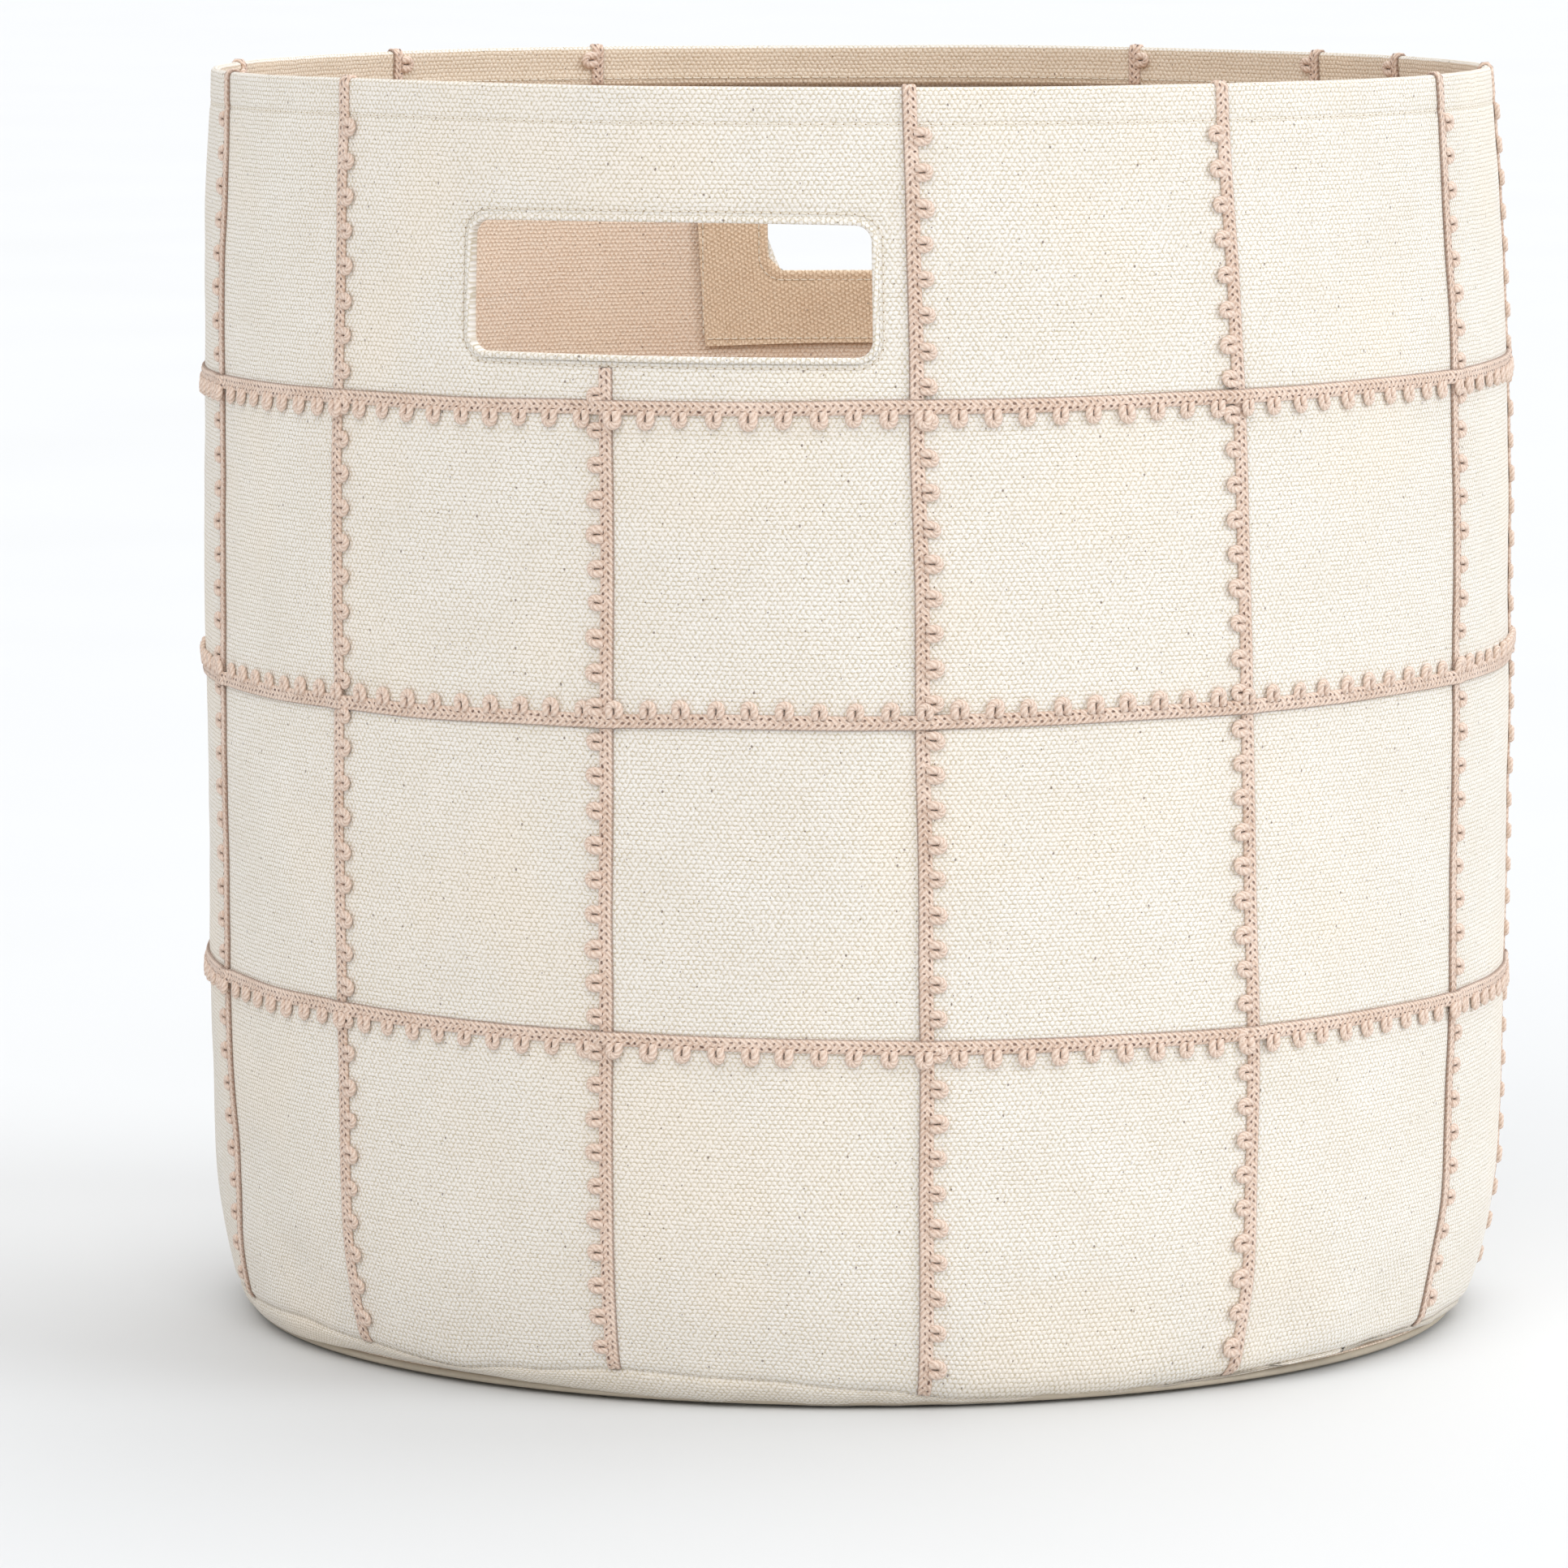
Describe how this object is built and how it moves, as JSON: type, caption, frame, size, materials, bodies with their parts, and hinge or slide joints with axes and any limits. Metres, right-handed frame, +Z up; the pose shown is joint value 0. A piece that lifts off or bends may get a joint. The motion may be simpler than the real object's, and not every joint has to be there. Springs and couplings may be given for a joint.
{
  "type": "fabric storage bin",
  "caption": "Round open-topped storage bin of heavy canvas with hand slots, a hemmed rim, a stiffened flat base and a grid of picot tapes sewn on the outside.",
  "frame": {"origin": "centre of the underside, on the surface that the bin stands on", "axes": "+Z up along the bin's axis; -Y through the middle of the front hand slot; +X to the right of someone who faces that slot"},
  "size_m": [0.4235, 0.4234, 0.4013],
  "materials": {
    "canvas": "matt plain weave",
    "base_canvas": "matt plain weave",
    "interlining": "matt felted",
    "lining": "matt plain weave",
    "base_lining": "matt plain weave",
    "board": "matt board",
    "facing": "matt plain weave",
    "tape": "matt braid",
    "thread": "matt twisted thread"
  },
  "bodies": {
    "root": {"outer_wall": "canvas", "base_cloth": "base_canvas", "wall_interlining": "interlining", "wall_lining": "lining", "base_lining": "base_lining", "base_board": "board", "front_handle_facing": "facing", "rear_handle_facing": "facing", "tape_column_01": "tape", "tape_column_02": "tape", "tape_column_03": "tape", "tape_column_04": "tape", "tape_column_05": "tape", "tape_column_06": "tape", "tape_column_07": "tape", "tape_column_08": "tape", "tape_column_09": "tape", "tape_column_10": "tape", "tape_column_11": "tape", "tape_column_12": "tape", "tape_column_13": "tape", "tape_column_14": "tape", "tape_row_upper": "tape", "tape_row_middle": "tape", "tape_row_lower": "tape", "rim_stitching": "thread", "base_seam_stitching": "thread", "front_handle_stitching": "thread", "rear_handle_stitching": "thread", "front_facing_stitching": "thread", "rear_facing_stitching": "thread"}
  },
  "joints": []
}
